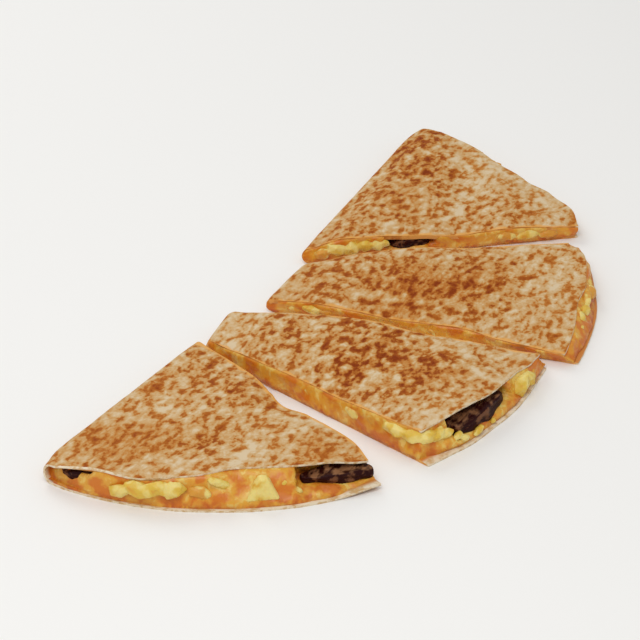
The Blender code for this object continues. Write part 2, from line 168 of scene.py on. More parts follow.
# Chunks in the filling: the slice, the middle in the uncut half moon, the size along, across and
# up, the turn in degrees and the height of the underside. -Y of a chunk looks out of the slice, and
# the filling gives way to it in the direction "giveWay", 90 being straight back. "lit" is how much
# painted highlight lies on the up-facing top of a strip, and "taper" how much thinner it is at its
# ends.
chunks = {
    "steak_1_left": {"slice": 0, "middle": (-0.1182, -0.0142), "size": (0.0135, 0.0070, 0.0042),
                     "turn": -68.0, "base": 0.0033, "clear": False, "giveWay": 90.0,
                     "lit": 0.3, "taper": 0.75, "squareness": 4.5},
    "steak_1_right": {"slice": 0, "middle": (-0.0712, -0.0881), "size": (0.0250, 0.0065, 0.0050),
                      "turn": -46.0, "base": 0.0025, "clear": True, "giveWay": 118.0,
                      "lit": 0.9, "taper": 0.75, "squareness": 4.5},
    "steak_2": {"slice": 1, "middle": (-0.0336, -0.1062), "size": (0.0300, 0.0120, 0.0056),
                "turn": -13.0, "base": 0.0030, "clear": True, "giveWay": 90.0,
                "lit": 0.5, "taper": 0.50, "squareness": 6.0},
    "steak_4": {"slice": 3, "middle": (0.0440, -0.0330), "size": (0.0160, 0.0090, 0.0037),
                "turn": -52.0, "base": 0.0029, "clear": True, "giveWay": 90.0,
                "lit": 0.0, "taper": 0.45, "squareness": 6.0},
    "egg_1_chunk": {"slice": 0, "middle": (-0.0933, -0.0719), "size": (0.0112, 0.0066, 0.0066),
                    "turn": -48.0, "base": 0.0027, "clear": False, "giveWay": 90.0},
}


def lerp(pair, share):
    return pair[0] * (1 - share) + pair[1] * share


def smooth(share):
    share = min(max(share, 0.0), 1.0)
    return share * share * (3 - 2 * share)


def along(stops, place):  # the size at a place, in metres
    size = stops[0][1]
    for (left, low), (right, high) in zip(stops, stops[1:]):
        if place > left:
            size = lerp((low, high), smooth((place - left) / (right - left)))
    return size * mm


def rimDistance(x, direction):
    length, depth = halfMoon["halfLength"], halfMoon["halfDepth"]
    a = (direction.x / length) ** 2 + (direction.y / depth) ** 2
    b = x * direction.x / length ** 2
    return (-b + math.sqrt(b * b - a * ((x / length) ** 2 - 1))) / a


columns = {}  # already worked out


def column(piece, s):  # the fold point, the direction to the rim and the distance to it
    key = (piece["cuts"], s)
    if key not in columns:
        columns[key] = workOutColumn(piece, s)
    return columns[key]


def workOutColumn(piece, s):
    length, tip = halfMoon["halfLength"], halfMoon["tipTurn"]
    turns = [min(max(math.degrees(math.acos(-x / length)), tip), 180 - tip) for x in piece["cuts"]]
    x = -length * math.cos(math.radians(lerp(turns, s)))
    lean = math.radians(lerp(piece["leans"], s))
    direction = Vector((math.cos(lean), math.sin(lean)))
    nearTip = smooth((abs(x) - length + halfMoon["tipWidth"]) / halfMoon["tipWidth"])
    drawnIn = halfMoon["tipRound"] * nearTip ** 2
    return Vector((x, 0)) + direction * drawnIn, direction, rimDistance(x, direction) - drawnIn


def ripple(place, size, pattern):
    return noise.noise(Vector((place.x / size, place.y / size, pattern)))


def sliceHeight(piece, s, t):
    first, second = piece["heights"]
    pressed = 1 - smooth(min(s, 1 - s) / halfMoon["edgeWidth"])
    height = lerp((along(first, t), along(second, t)), s) - halfMoon["edgeDrop"] * pressed
    lift = smooth((t - halfMoon["liftStart"]) / (1 - halfMoon["liftStart"]))
    height += along(piece["rimLift"], s) * lift
    return height + halfMoon["pillow"] * math.sin(math.pi * s) * math.sin(math.pi * t)


def topHeight(piece, s, away):
    start, direction, reach = column(piece, s)
    bend = sliceHeight(piece, s, 0.0) / 2
    t = min(max(away - bend, 0.0) / (reach - bend), 1.0)
    rippled = halfMoon["ripple"] * ripple(start + direction * away, halfMoon["rippleSize"], 2.0)
    return sliceHeight(piece, s, t) + rippled * smooth(t / halfMoon["rippleFull"])


def rimReach(piece, s, share):
    key = (piece["cuts"], s, share)
    if key not in columns:
        columns[key] = workOutReach(piece, s, share)
    return columns[key]


def workOutReach(piece, s, share):
    start, direction, reach = column(piece, s)
    wander = halfMoon["wander"] * ripple(start + direction * reach, halfMoon["wanderSize"], 5 + share)
    return reach - min(along(piece["recess"], s), halfMoon["maxRecess"] * reach) * share - wander


def placed(piece, s, away, height, share):
    start, direction, reach = column(piece, s)
    first, second = piece["outs"]
    out = along(second, away / reach) * s ** 2 - along(first, away / reach) * (1 - s) ** 2
    sideways = Vector((-direction.y, direction.x))
    place = start + direction * away + sideways * out * share
    return Vector((place.x, place.y, height))


def sheetPoint(piece, s, t):  # t is -1 at the lower rim, 0 at the fold, 1 at the upper rim
    half = halfMoon["sheet"] / 2
    bend = sliceHeight(piece, s, 0.0) / 2
    run = (abs(t) - halfMoon["foldShare"]) / (1 - halfMoon["foldShare"])
    if run <= 0:
        angle = t / halfMoon["foldShare"] * math.pi / 2
        away = bend - (bend - half) * math.cos(angle)
        return placed(piece, s, away, bend + (bend - half) * math.sin(angle),
                      (1 + math.sin(angle)) / 2)
    if t < 0:
        curled = (run - halfMoon["curlStart"]) / (1 - halfMoon["curlStart"])
        curl = along(piece["curl"], s) * smooth(curled)
        return placed(piece, s, lerp((bend, rimReach(piece, s, 0.0)), run), half + curl, 0.0)
    away = lerp((bend, rimReach(piece, s, 1.0)), run)
    return placed(piece, s, away, topHeight(piece, s, away) - half, 1.0)


def fillingPoint(piece, s, t, h, sunk=0.0):  # sunk: how far it is let into both sheets
    bend = sliceHeight(piece, s, 0.0) / 2
    inner = bend - halfMoon["sheet"] + sunk
    awayIn = bend - math.sqrt(max(inner ** 2 - ((2 * h - 1) * inner) ** 2, 0.0))
    awayOut = lerp((rimReach(piece, s, 0.0) - along(piece["bare"], s),
                    rimReach(piece, s, 1.0) - halfMoon["topCover"]), h)
    away = lerp((awayIn, awayOut), t)
    low, high = halfMoon["sheet"] - sunk, topHeight(piece, s, away) - halfMoon["sheet"] + sunk
    return placed(piece, s, away, lerp((low, high), h), h)


def isTip(piece, end):  # whether a slice ends in the half moon's tip, and not in a cut
    return abs(piece["cuts"][end]) == halfMoon["halfLength"]


def walls(piece, s, t):  # distances to the first cut, the second cut and the rim
    start, direction, reach = column(piece, s)
    point = start + direction * reach * t
    distances = []
    for end in (0, 1):
        corner, line = column(piece, float(end))[:2]
        distances.append(abs((point - corner).cross(line)))
    toRim = min([(1 - t) * reach] + [distances[end] for end in (0, 1) if isTip(piece, end)])
    return [1.0 if isTip(piece, end) else distances[end] for end in (0, 1)] + [toRim]


def chunkMatrix(chunk):
    middle = Vector((*chunk["middle"], chunk["base"] + chunk["size"][2] / 2))
    return Matrix.Translation(middle) @ Matrix.Rotation(math.radians(chunk["turn"]), 4, "Z")


def sliceMatrix(piece):  # from the uncut half moon to where the slice lies
    turn = Matrix.Rotation(math.radians(piece["turn"]), 4, "Z")
    offset = turn @ Vector((piece["pivot"], 0, 0))
    return Matrix.Translation(Vector((*piece["place"], 0)) - offset) @ turn


def deselectAll():
    if bpy.context.object and bpy.context.object.mode != "OBJECT":
        bpy.ops.object.mode_set(mode="OBJECT")
    for other in bpy.context.selected_objects:
        other.select_set(False)


def pick(piece):
    deselectAll()
    piece.select_set(True)
    bpy.context.view_layer.objects.active = piece


def apply(piece, kind, **settings):
    pick(piece)
    modifier = piece.modifiers.new(kind.lower(), kind)
    for name, value in settings.items():
        setattr(modifier, name, value)
    bpy.ops.object.modifier_apply(modifier=modifier.name)


def settle(piece):  # put the object's place into its mesh
    pick(piece)
    bpy.ops.object.transform_apply(location=True, rotation=True, scale=True)


def join(pieces, name):
    pick(pieces[0])
    for other in pieces[1:]:
        other.select_set(True)
    bpy.ops.object.join()
    pieces[0].name = name
    pieces[0].data.name = name
    return pieces[0]


def boxMiddle(points):
    low = Vector(min(point[axis] for point in points) for axis in range(3))
    high = Vector(max(point[axis] for point in points) for axis in range(3))
    return (low + high) / 2


def addGrid(name, across, deep):  # a flat grid whose corners are (0, 0) and (1, 1)
    deselectAll()
    bpy.ops.mesh.primitive_grid_add(x_subdivisions=across, y_subdivisions=deep, size=1,
                                    location=(0.5, 0.5, 0))
    grid = bpy.context.object
    grid.name = name
    grid.data.name = name
    settle(grid)
    return grid


def addBlock(name, across, deep, layers):  # the grid drawn up into a block, 1 high
    block = addGrid(name, across, deep)
    pick(block)
    bpy.ops.object.mode_set(mode="EDIT")
    bpy.ops.mesh.select_all(action="SELECT")
    for layer in range(layers):
        bpy.ops.mesh.extrude_region_move(TRANSFORM_OT_translate={"value": (0, 0, 1 / layers)})
    bpy.ops.object.mode_set(mode="OBJECT")
    return block


def turnOutwards(piece):
    pick(piece)
    bpy.ops.object.mode_set(mode="EDIT")
    bpy.ops.mesh.select_all(action="SELECT")
    bpy.ops.mesh.normals_make_consistent(inside=False)
    bpy.ops.object.mode_set(mode="OBJECT")


def flip(piece):
    pick(piece)
    bpy.ops.object.mode_set(mode="EDIT")
    bpy.ops.mesh.select_all(action="SELECT")
    bpy.ops.mesh.flip_normals()
    bpy.ops.object.mode_set(mode="OBJECT")


def shadeSmooth(piece, degrees=40):
    pick(piece)
    bpy.ops.object.shade_smooth_by_angle(angle=math.radians(degrees))


class Field:  # a shader socket that can be reckoned with
    def __init__(self, recipe, socket):
        self.recipe, self.socket = recipe, socket

    def maths(self, operation, *values):
        return self.recipe.add("ShaderNodeMath", {"operation": operation}, dict(enumerate(values)))

    def __add__(self, other):
        return self.maths("ADD", self, other)

    def __radd__(self, other):
        return self.maths("ADD", other, self)

    def __sub__(self, other):
        return self.maths("SUBTRACT", self, other)

    def __rsub__(self, other):
        return self.maths("SUBTRACT", other, self)

    def __mul__(self, other):
        return self.maths("MULTIPLY", self, other)

    def __rmul__(self, other):
        return self.maths("MULTIPLY", other, self)

    def __abs__(self):
        return self.maths("ABSOLUTE", self)


class Recipe:  # the nodes of one finish
    def __init__(self, name):
        self.material = bpy.data.materials.new(name)
        self.material.use_nodes = True
        self.tree = self.material.node_tree
        self.shader = self.tree.nodes["Principled BSDF"]

    def add(self, kind, settings, sockets, output=0):
        node = self.tree.nodes.new(kind)
        for name, value in settings.items():
            setattr(node, name, value)
        self.fill(node, sockets)
        return Field(self, node.outputs[output])

    def fill(self, node, sockets):
        for name, value in sockets.items():
            if isinstance(value, Field):
                self.tree.links.new(value.socket, node.inputs[name])
            else:
                node.inputs[name].default_value = value

    def place(self):
        return self.add("ShaderNodeTexCoord", {}, {}, "Object")

    def stretched(self, place, turn, scale):  # the pattern turned by degrees and stretched
        return self.add("ShaderNodeMapping", {}, {"Vector": place, "Scale": scale,
                                                  "Rotation": (0, 0, math.radians(turn))})

    def mottle(self, place, size, detail=2.0, roughness=0.5, distortion=0.0):
        return self.add("ShaderNodeTexNoise", {}, {
            "Vector": place, "Scale": 1 / size, "Detail": detail, "Roughness": roughness,
            "Distortion": distortion}, "Fac")

    def shaken(self, place, size, by):  # the place, moved about by a noise
        shake = self.add("ShaderNodeTexNoise", {}, {"Vector": place, "Scale": 1 / size,
                                                    "Detail": 1.0}, "Color")
        centred = self.add("ShaderNodeVectorMath", {"operation": "SUBTRACT"},
                           {0: shake, 1: (0.5, 0.5, 0.5)})
        return self.add("ShaderNodeVectorMath", {"operation": "MULTIPLY_ADD"},
                        {0: centred, 1: (by, by, by), 2: place})

    def between(self, value, low, high):  # 0 below low, 1 above high
        return self.add("ShaderNodeMapRange", {"interpolation_type": "SMOOTHSTEP", "clamp": True},
                        {"Value": value, "From Min": low, "From Max": high})

    def attribute(self, name):
        return self.add("ShaderNodeAttribute", {"attribute_name": name}, {}, "Fac")

    def blend(self, share, under, over):  # two colours
        return self.add("ShaderNodeMix", {"data_type": "RGBA"}, {0: share, 6: under, 7: over}, 2)

    def relief(self, height, distance, strength=1.0):
        return self.add("ShaderNodeBump", {}, {"Height": height, "Distance": distance,
                                               "Strength": strength})

    def finish(self, **sockets):
        self.fill(self.shader, {name.replace("_", " "): value for name, value in sockets.items()})
        return self.material


def paint(red, green, blue):  # a screen colour, 0 to 255, as the shader's linear one
    return tuple(part / 255 / 12.92 if part <= 10 else ((part / 255 + 0.055) / 1.055) ** 2.4
                 for part in (red, green, blue)) + (1.0,)


crust = {
    # the colours from barely to darkly toasted, each with where it lies in the pattern
    "tones": ((-1.9, (215, 193, 158)), (-1.2, (210, 181, 139)), (-0.6, (205, 169, 120)),
              (0.1, (199, 154, 98)), (0.8, (192, 133, 69)), (1.4, (184, 114, 49)),
              (2.1, (170, 95, 31)), (3.0, (152, 74, 22)), (4.0, (132, 54, 12))),
    # cutGold is partly cheese grease, partly a painted highlight of the lit cut edges
    "cream": (205, 166, 112), "cutGold": (226, 164, 84), "cutBrown": (188, 118, 50),
    "rimPale": (232, 216, 188), "cheeseStain": (208, 130, 52),
    "grainTurn": -14.0, "grainStretch": 0.74,  # marks are longer along the fold
    "streakTurn": -8.0, "streakStretch": 0.3,
}


def crustOutside():
    recipe = Recipe("griddled tortilla")
    place = recipe.place()
    toast = recipe.attribute("toast")
    smear = recipe.attribute("smear")
    fromCut = recipe.attribute("fromCut")
    long = recipe.stretched(place, crust["grainTurn"], (crust["grainStretch"], 1.0, 1.0))
    loose = recipe.shaken(long, 0.0050, 0.0020)
    streaked = recipe.stretched(place, crust["streakTurn"], (crust["streakStretch"], 1.0, 1.0))
    streaks = recipe.mottle(streaked, 0.0018, 3.0, 0.6)
    broad = recipe.mottle(loose, 0.0085, 1.0, 0.4)
    middle = recipe.mottle(loose, 0.0047, 2.0)
    spots = recipe.mottle(loose, 0.0025, 2.0, 0.42)
    fine = recipe.mottle(place, 0.0010, 2.0, 0.6)
    # spots gather along the outlines of blisters
    outline = 0.1 - abs(broad - 0.5)
    pattern = (broad - 0.5) * 2.5 + (middle - 0.5) * 5 + (spots - 0.5) * 7.5
    pattern = pattern + outline * 4 + (fine - 0.5) * 2.5
    pattern = pattern + recipe.between(pattern, 0.5, 0.9) * 0.7 - 0.2
    pattern = pattern * (0.95 + toast * 0.35 - smear * 0.35) + (streaks - 0.5) * smear * 4
    pattern = pattern + toast * 1.4 + smear * 0.8
    tones = crust["tones"]
    colour = paint(*tones[0][1])
    for (low, paler), (high, tone) in zip(tones, tones[1:]):
        colour = recipe.blend(recipe.between(pattern, low, high), colour, paint(*tone))
    # cuts are gold: partly cheese grease, partly a painted highlight along the lit cut edge
    gold = 1 - recipe.between(fromCut + middle * 5.0 - 2.5, 0.2, 1.4)
    colour = recipe.blend(gold * 0.8, colour, paint(*crust["cutGold"]))
    toasted = recipe.between(pattern, 1.2, 3.0)
    height = fine * 0.3 + middle * 0.5 - toasted * 0.4
    return recipe.finish(Base_Color=colour, Roughness=0.62 - toasted * 0.12,
                         Specular_IOR_Level=0.04, Normal=recipe.relief(height, 0.0006, 0.7))


def crustInside():
    recipe = Recipe("tortilla inside")
    place = recipe.place()
    grain = recipe.mottle(place, 0.004, 3.0, 0.6)
    stain = recipe.between(recipe.attribute("fromStain") + grain * 2 - 1, 0.0, 1.5)
    colour = recipe.blend(recipe.between(grain, 0.35, 0.6), paint(*crust["cream"]),
                          paint(*crust["rimPale"]))
    colour = recipe.blend(stain, colour, paint(*crust["cheeseStain"]))
    return recipe.finish(Base_Color=colour, Roughness=0.55 - stain * 0.2,
                         Specular_IOR_Level=0.3, Normal=recipe.relief(grain, 0.0004, 0.5))


def crustEdge():
    recipe = Recipe("tortilla edge")
    place = recipe.place()
    grain = recipe.mottle(place, 0.0022, 3.0, 0.6)
    patches = recipe.mottle(place, 0.0060, 2.0)
    cut = recipe.between(recipe.attribute("fromRim"), 0.3, 1.2)
    colour = recipe.blend(recipe.between(grain, 0.35, 0.6), paint(*crust["cream"]),
                          paint(*crust["rimPale"]))
    # at the cuts the edge is gold in brown patches: partly cheese grease, partly a painted highlight
    # of the lit cut
    gold = recipe.blend(recipe.between(patches, 0.4, 0.6), paint(*crust["cutBrown"]),
                        paint(*crust["cutGold"]))
    colour = recipe.blend(cut, colour, gold)
    return recipe.finish(Base_Color=colour, Roughness=0.50 - cut * 0.12,
                         Specular_IOR_Level=0.3, Normal=recipe.relief(grain, 0.0004, 0.6))


cheese = {"orange": (210, 118, 26), "yellow": (222, 160, 52), "pale": (230, 194, 100),
          "red": (176, 72, 18)}


def meltedCheese():
    recipe = Recipe("melted cheese")
    place = recipe.place()
    loose = recipe.shaken(place, 0.005, 0.003)
    patches = recipe.mottle(loose, 0.0065, 3.0, 0.55)
    fine = recipe.mottle(loose, 0.0018, 2.0)
    low = 1 - recipe.between(recipe.add("ShaderNodeSeparateXYZ", {}, {0: place}, 2)
                             + patches * 0.004, 0.0026, 0.0056)
    colour = recipe.blend(recipe.between(patches, 0.40, 0.56), paint(*cheese["orange"]),
                          paint(*cheese["yellow"]))
    colour = recipe.blend(recipe.between(patches + (fine - 0.5) * 0.4, 0.56, 0.70), colour,
                          paint(*cheese["pale"]))
    colour = recipe.blend(low * recipe.between(fine, 0.3, 0.6) * 0.65, colour,
                          paint(*cheese["red"]))
    return recipe.finish(
        Base_Color=colour, Roughness=0.26 + fine * 0.22, Specular_IOR_Level=0.4,
        Subsurface_Weight=0.15, Subsurface_Radius=(0.6, 0.3, 0.1), Subsurface_Scale=0.003,
        Normal=recipe.relief(patches * 0.6 + fine * 0.4, 0.0008, 0.6))


egg = {"yellow": (220, 182, 66), "light": (232, 210, 124), "stain": (214, 146, 50)}


def scrambledEgg(name, lightFrom):
    recipe = Recipe(name)
    place = recipe.place()
    patches = recipe.mottle(recipe.shaken(place, 0.004, 0.002), 0.0050, 2.0)
    fine = recipe.mottle(place, 0.0012, 2.0)
    colour = recipe.blend(recipe.between(patches, lightFrom, lightFrom + 0.18),
                          paint(*egg["yellow"]), paint(*egg["light"]))
    bare = recipe.between(patches - recipe.attribute("coat") * 0.25, 0.26, 0.40)
    colour = recipe.blend((1 - bare) * 0.85, colour, paint(*egg["stain"]))
    return recipe.finish(
        Base_Color=colour, Roughness=0.36 + fine * 0.2, Specular_IOR_Level=0.4,
        Subsurface_Weight=0.15, Subsurface_Radius=(0.6, 0.4, 0.15), Subsurface_Scale=0.003,
        Normal=recipe.relief(patches * 0.5 + fine * 0.5, 0.0005, 0.5))


# the grey is a painted highlight, laid on the steak's tops as if lit from above
steak = {"dark": (42, 4, 3), "brown": (112, 70, 44), "highlightGrey": (148, 104, 70), "fibre": 0.0015}


def searedSteak(turn, lit):  # the fibres run along the strip; lit is how much painted highlight lies on its up-facing top
    recipe = Recipe("seared steak")
    place = recipe.place()
    length = recipe.stretched(place, turn, (0.22, 1.0, 1.0))
    fibre = recipe.mottle(length, steak["fibre"], 3.0, 0.6)
    patches = recipe.mottle(place, 0.0042, 2.0)
    facing = recipe.add("ShaderNodeSeparateXYZ", {},
                        {0: recipe.add("ShaderNodeNewGeometry", {}, {}, "Normal")}, 2)
    # painted highlight: faces that look up turn grey, as if lit from above, scaled by lit
    top = recipe.between(facing + (patches - 0.5) * 0.8, 0.74, 0.98)
    mixed = patches + (fibre - 0.5) * 0.8
    colour = recipe.blend(recipe.between(mixed, 0.50, 0.68), paint(*steak["dark"]),
                          paint(*steak["brown"]))
    colour = recipe.blend(top * recipe.between(mixed, 0.36, 0.62) * lit, colour,
                          paint(*steak["highlightGrey"]))
    return recipe.finish(Base_Color=colour, Roughness=0.34 + fibre * 0.25,
                         Specular_IOR_Level=0.12, Normal=recipe.relief(mixed, 0.0008, 0.8))


tortilla = {
    "spacing": 0.00078,  # of the upper sheet's mesh
    "lowerRows": 60,
    "bendRows": 18,
    "upperRows": 150,
    "blister": 0.00030,  # height of the blisters
    "blisterSize": 0.0085,
    "pucker": 0.00010,
    "puckerSize": 0.0030,
    "edgeRound": 0.00022,
    "rimThin": 0.45,  # share of the thickness left at the rim
    "thinWidth": 8.0,  # millimetres over which it thins
}


def patchAt(piece, point, column):  # how toasted or smeared the half moon is at a point
    total = 0.0
    for patch in piece["toast"]:
        away = math.hypot(point.x / mm - patch[0], point.y / mm - patch[1])
        total += patch[column] * math.exp(-(away / patch[2]) ** 2)
    return total


def blisters(point):
    size, fine = tortilla["blisterSize"], tortilla["puckerSize"]
    swell = noise.noise(Vector((point.x / size, point.y / size, 3.0)))
    pucker = noise.noise(Vector((point.x / fine, point.y / fine, 6.0)))
    return tortilla["blister"] * max(swell, -0.15) + tortilla["pucker"] * pucker


def rowShare(row):  # t for a row of the sheet's grid
    fold = halfMoon["foldShare"]
    if row < tortilla["lowerRows"]:
        return -1 + (1 - fold) * row / tortilla["lowerRows"]
    row -= tortilla["lowerRows"]
    if row < tortilla["bendRows"]:
        return -fold + 2 * fold * row / tortilla["bendRows"]
    return fold + (1 - fold) * (row - tortilla["bendRows"]) / tortilla["upperRows"]


def writeField(piece, name, values):
    field = piece.data.attributes.new(name, "FLOAT", "POINT")
    field.data.foreach_set("value", values)


def makeTortilla(number, piece):
    width = (sheetPoint(piece, 1.0, 1.0) - sheetPoint(piece, 0.0, 1.0)).length
    across = round(width * 1.08 / tortilla["spacing"])
    rows = tortilla["lowerRows"] + tortilla["bendRows"] + tortilla["upperRows"]
    sheet = addGrid(f"griddledTortilla{number}", across, rows)
    thickness = sheet.vertex_groups.new(name="thickness")
    toast, smear, fromCut, fromRim, fromStain = [], [], [], [], []
    for vertex in sheet.data.vertices:
        s, t = vertex.co.x, rowShare(round(vertex.co.y * rows))
        toFirst, toSecond, toRim = walls(piece, s, abs(t))
        point = sheetPoint(piece, s, t)
        upper = smooth((t + halfMoon["foldShare"]) / (2 * halfMoon["foldShare"]))
        left = lerp((tortilla["rimThin"], 1.0), smooth(toRim / mm / tortilla["thinWidth"]))
        thickness.add([vertex.index], left, "REPLACE")
        point.z += halfMoon["sheet"] / 2 * (1 - left) * (1 if t > 0 else -1)
        point.z += blisters(point) * upper
        vertex.co = point
        toast.append(patchAt(piece, point, 3))
        smear.append(patchAt(piece, point, 4))
        fromCut.append(min(toFirst, toSecond) / mm)
        fromRim.append(toRim / mm)
        fromStain.append(toRim / mm - piece["stained"])
    for name, values in (("toast", toast), ("smear", smear), ("fromCut", fromCut),
                         ("fromRim", fromRim), ("fromStain", fromStain)):
        writeField(sheet, name, values)
    for finish in finishes["tortilla"]:
        sheet.data.materials.append(finish)
    flip(sheet)
    apply(sheet, "SOLIDIFY", thickness=halfMoon["sheet"], offset=0.0, material_offset=1,
          material_offset_rim=2, vertex_group="thickness")
    apply(sheet, "BEVEL", width=tortilla["edgeRound"], segments=2, limit_method="ANGLE",
          angle_limit=math.radians(60))
    shadeSmooth(sheet, 50)
    return sheet


filling = {
    "spacing": 0.0009,
    "layers": 12,
    "sunk": 0.0011,  # how far it is let into the sheets
    "sunkAtCut": 0.0015,  # and where a cut smeared it over their edges
    "swell": 0.00055,  # how far cheese stands out of a cut
    "lumps": 0.0009,
    "lumpSize": 0.0060,
    "crumbs": 0.00035,
    "crumbSize": 0.0019,
    "rimSwell": 0.0006,
    "rimLumps": 0.0014,
    "wallDepth": 0.0040,  # how deep behind a wall the lumps reach
    "runOver": 0.0060,  # width along the walls where cheese reaches up to the top
    "tipLow": 0.085,  # share of s from the half moon's tip where it is thin
    "tipRise": 0.085,  # share of s over which it then rises
    "tipTop": 0.12,  # its h where it is thin
}


def cheeseShare(place):
    wave = ripple(place, halfMoon["wanderSize"], 8.0)
    return halfMoon["cheeseShare"] + halfMoon["shareWave"] * wave


def keepClear(chunk, point, margin):  # pushes a point back behind a chunk
    matrix = chunkMatrix(chunk)
    local = matrix.inverted() @ point
    alongIt, across, up = chunk["size"]
    under = smooth((point.z - chunk["base"] - 0.6 * mm) / (1.2 * mm))
    beside = 1 - smooth((abs(local.x) - alongIt / 2) / (2.5 * mm))
    way = math.radians(chunk["giveWay"])
    short = max(across / 2 + margin - local.y, 0.0) / math.sin(way)
    local += Vector((math.cos(way), math.sin(way), 0)) * short * beside * under
    return matrix @ local


def lumpy(piece, s, t, h, point):  # cheese stands out of the walls in lumps
    firstAway, secondAway, rimAway = walls(piece, s, t)
    direction = column(piece, s)[1].to_3d()
    sideways = Vector((-direction.y, direction.x, 0))
    profile = 1 - abs(2 * h - 1) ** 9
    lump = noise.noise(point / filling["lumpSize"])
    crumb = noise.noise(point / filling["crumbSize"] + Vector((7, 3, 5)))
    out = filling["swell"] + filling["lumps"] * lump + filling["crumbs"] * crumb
    near = [profile * (1 - smooth(away / filling["wallDepth"]))
            for away in (firstAway, secondAway, rimAway)]
    rimOut = filling["rimSwell"] + filling["rimLumps"] * lump + filling["crumbs"] * crumb
    outwards = direction + Vector((0, 0, 0.6))
    return point + sideways * out * (near[1] - near[0]) + outwards * rimOut * near[2]


def makeCheese(number, piece):
    first, last = piece["filled"]
    width = (sheetPoint(piece, 1.0, 1.0) - sheetPoint(piece, 0.0, 1.0)).length
    across = round(width * (last - first) / filling["spacing"])
    deep = round(column(piece, 0.5)[2] / filling["spacing"])
    block = addBlock(f"meltedCheese{number}", across, deep, filling["layers"])
    for vertex in block.data.vertices:
        s, t, h = lerp((first, last), vertex.co.x), vertex.co.y, vertex.co.z
        inner = fillingPoint(piece, s, t, halfMoon["cheeseShare"])
        toFirst, toSecond, toRim = walls(piece, s, t)
        full = 1 - smooth(min(toFirst, toSecond, toRim) / filling["runOver"] - 0.2)
        atCut = 1 - smooth(min(toFirst, toSecond) / filling["runOver"])
        atCut *= smooth(toRim / filling["runOver"] - 0.5)
        sunk = lerp((filling["sunk"], filling["sunkAtCut"]), atCut)
        top = lerp((cheeseShare(inner), 1.0), full)
        for end, fromTip in ((0, s), (1, 1 - s)):
            if isTip(piece, end):
                rise = smooth((fromTip - filling["tipLow"]) / filling["tipRise"])
                top *= lerp((filling["tipTop"], 1.0), rise)
        point = fillingPoint(piece, s, t, h * top, sunk)
        point = lumpy(piece, s, t, h, point)
        for chunk in chunks.values():
            if slices[chunk["slice"]] is piece and chunk["clear"]:
                point = keepClear(chunk, point, 0.0)
        vertex.co = point
    turnOutwards(block)
    block.data.materials.append(finishes["cheese"])
    shadeSmooth(block, 80)
    return block


curdShape = {"voxel": 0.00042, "least": 0.76, "most": 1.22, "deep": 0.95, "grain": 0.00016,
             "grainSize": 0.0011}


def addCurd(name, length, high, matrix, chance):  # one angular lump of egg
    deselectAll()
    bpy.ops.mesh.primitive_ico_sphere_add(subdivisions=1, radius=1.0, location=(0, 0, 0))
    curd = bpy.context.object
    curd.name = name
    half = Vector((length / 2, high * curdShape["deep"] / 2, high / 2))
    for vertex in curd.data.vertices:
        reach = chance.uniform(curdShape["least"], curdShape["most"])
        vertex.co = matrix @ (vertex.co * half * reach)
    pick(curd)
    bpy.ops.object.mode_set(mode="EDIT")
    bpy.ops.mesh.select_all(action="SELECT")
    bpy.ops.mesh.convex_hull()
    bpy.ops.object.mode_set(mode="OBJECT")
    return curd


def roughen(piece):  # the grain of cooked egg
    moved = [vertex.co + vertex.normal * curdShape["grain"]
             * noise.noise(vertex.co / curdShape["grainSize"]) for vertex in piece.data.vertices]
    for vertex, point in zip(piece.data.vertices, moved):
        vertex.co = point


def wallPlace(piece, wall, place, h):  # a point of a wall, with its way out
    if wall == "rim":
        point = fillingPoint(piece, place, 1.0, h)
        beside = fillingPoint(piece, min(place + 0.02, 1.0), 1.0, h)
        back = fillingPoint(piece, max(place - 0.02, 0.0), 1.0, h)
        run = (beside - back).normalized()
        return point, Vector((run.y, -run.x, 0)).normalized(), run
    s = 0.0 if wall == "near" else 1.0
    point = fillingPoint(piece, s, place, h)
    direction = column(piece, s)[1].to_3d()
    sideways = Vector((-direction.y, direction.x, 0))
    return point, sideways if wall == "far" else -sideways, direction


def guessedCurds(piece, wall, chance):  # egg at a wall that faces away
    curds = []
    place = chance.uniform(0.06, 0.12)
    while place < 0.94:
        length = chance.uniform(6.0, 10.0)
        out = chance.uniform(-1.6, -0.6) if wall == "far" else chance.uniform(-1.2, 0.0)
        curds.append((wall, place, chance.uniform(0.4, 0.7), length, length * 0.55, out,
                      chance.uniform(-20, 20)))
        place += length * mm / 0.075 * chance.uniform(0.8, 2.2)
    return curds


